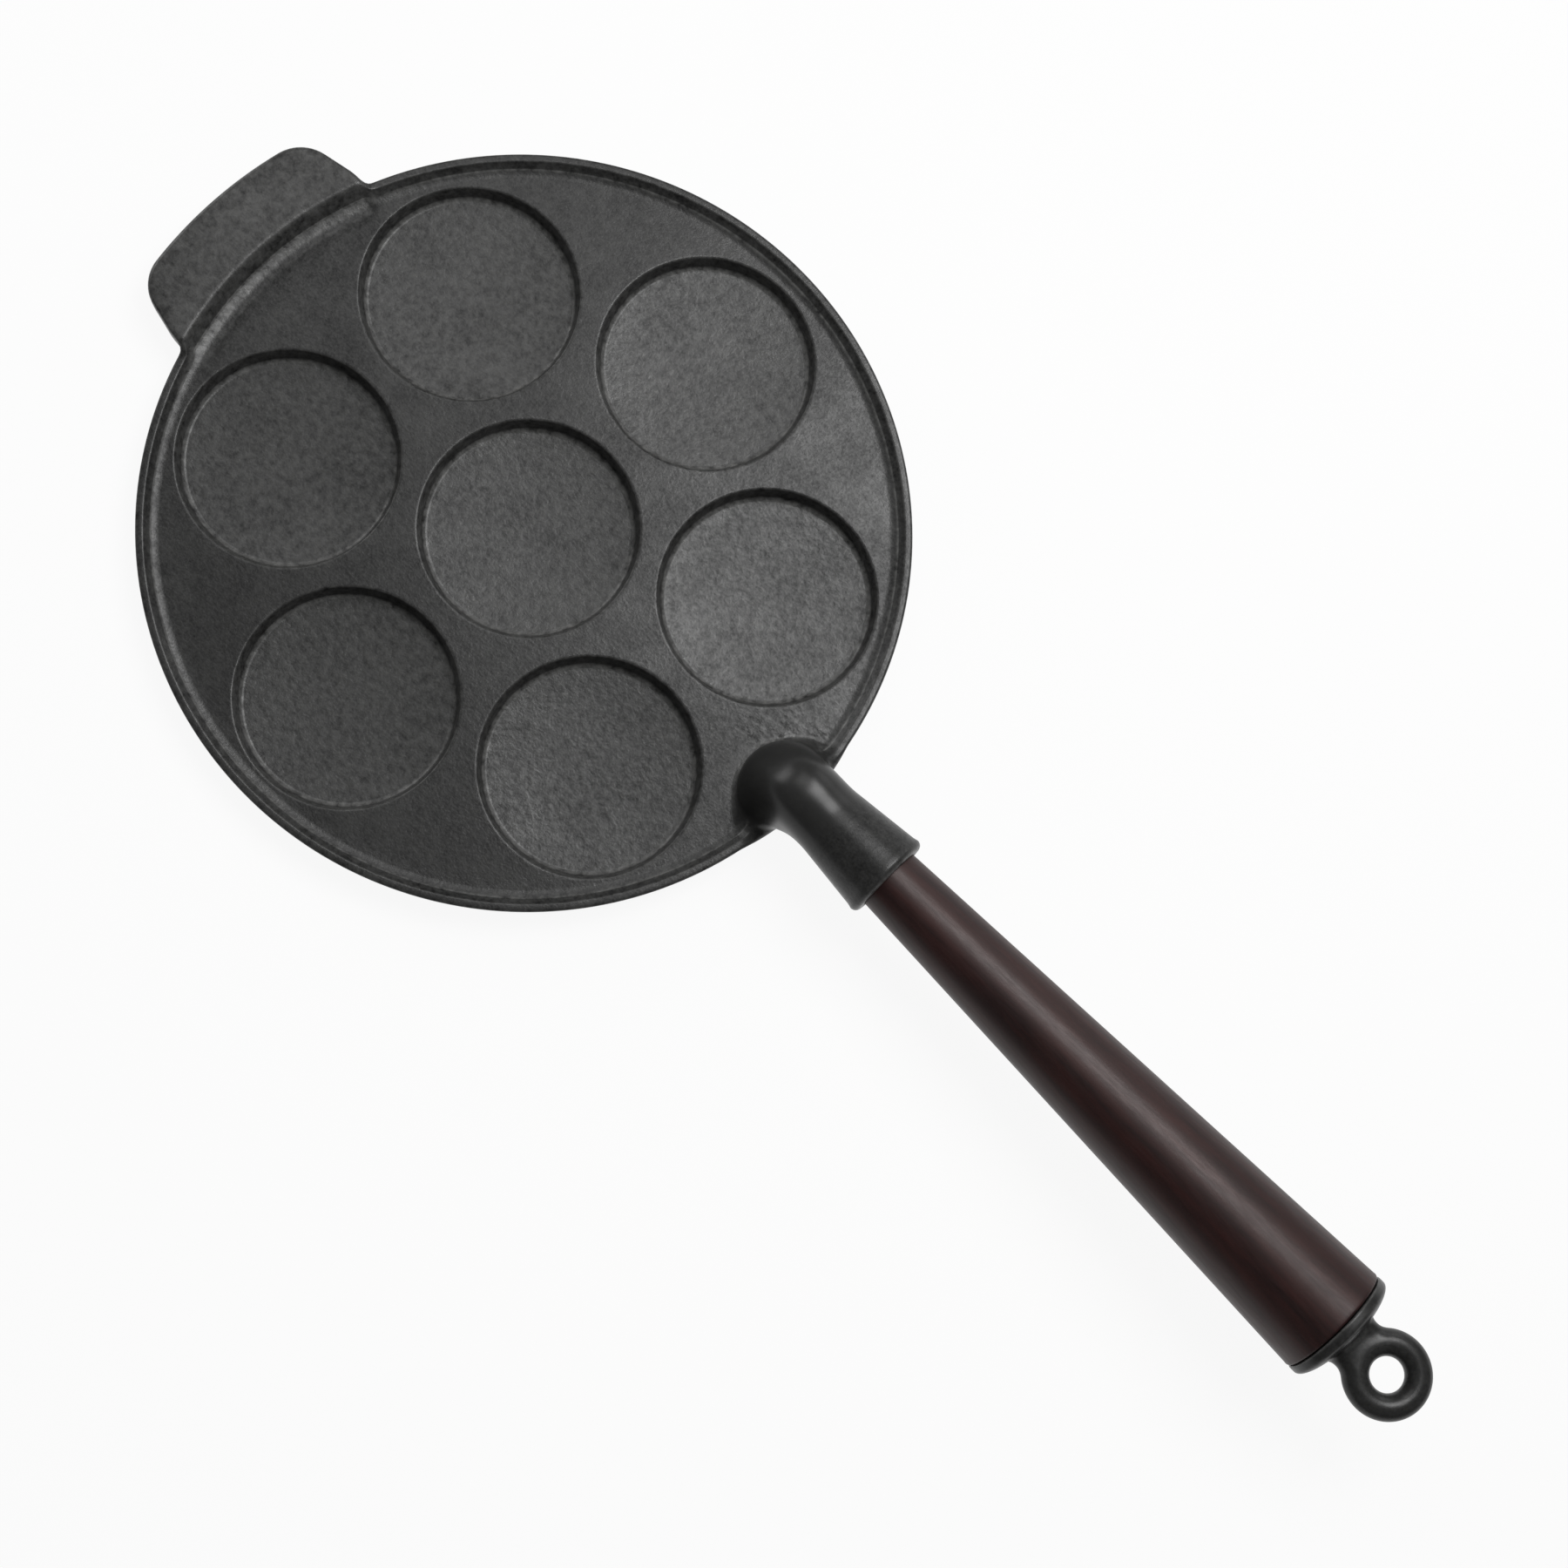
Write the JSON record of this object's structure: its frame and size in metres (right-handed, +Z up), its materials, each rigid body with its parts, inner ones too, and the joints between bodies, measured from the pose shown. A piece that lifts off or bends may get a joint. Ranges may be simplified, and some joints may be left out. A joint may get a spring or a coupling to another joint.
{
  "type": "blini pan",
  "caption": "Round cast-iron pan with shallow round wells, a flat tab, and a tapered wooden handle held by a tie rod and a cast cap with a hanging eye.",
  "frame": {"origin": "centre of the round underside, where the pan stands", "axes": "+X along the handle, away from the plate; +Z up out of the wells; +Y to the left seen along the handle"},
  "size_m": [0.4945, 0.23, 0.0619],
  "materials": {
    "cast_iron": "dark seasoned cast iron, finely grained, matte satin",
    "lacquered_wood": "near-black red-brown stained wood under a satin lacquer",
    "zinced_steel": "bright zinced steel rod, hidden inside the handle"
  },
  "bodies": {
    "pan": {"pan_body": "cast_iron"},
    "grip": {"handle_grip": "lacquered_wood"},
    "eye": {"hanging_eye": "cast_iron", "tie_rod": "zinced_steel"}
  },
  "joints": [
    {"name": "grip_draw", "type": "slide", "parent": "pan", "child": "grip", "axis": [0.9971, 0, 0.0767], "range_m": [0, 0.011]},
    {"name": "eye_turn", "type": "hinge", "parent": "grip", "child": "eye", "pos_m": [0.1492, 0, 0.0303], "axis": [0.9971, 0, 0.0767], "range_deg": [0, 3960]}
  ],
  "couplings": [
    {"joint": "eye_turn", "follows": "grip_draw", "rad_per_m": 6283.2}
  ]
}
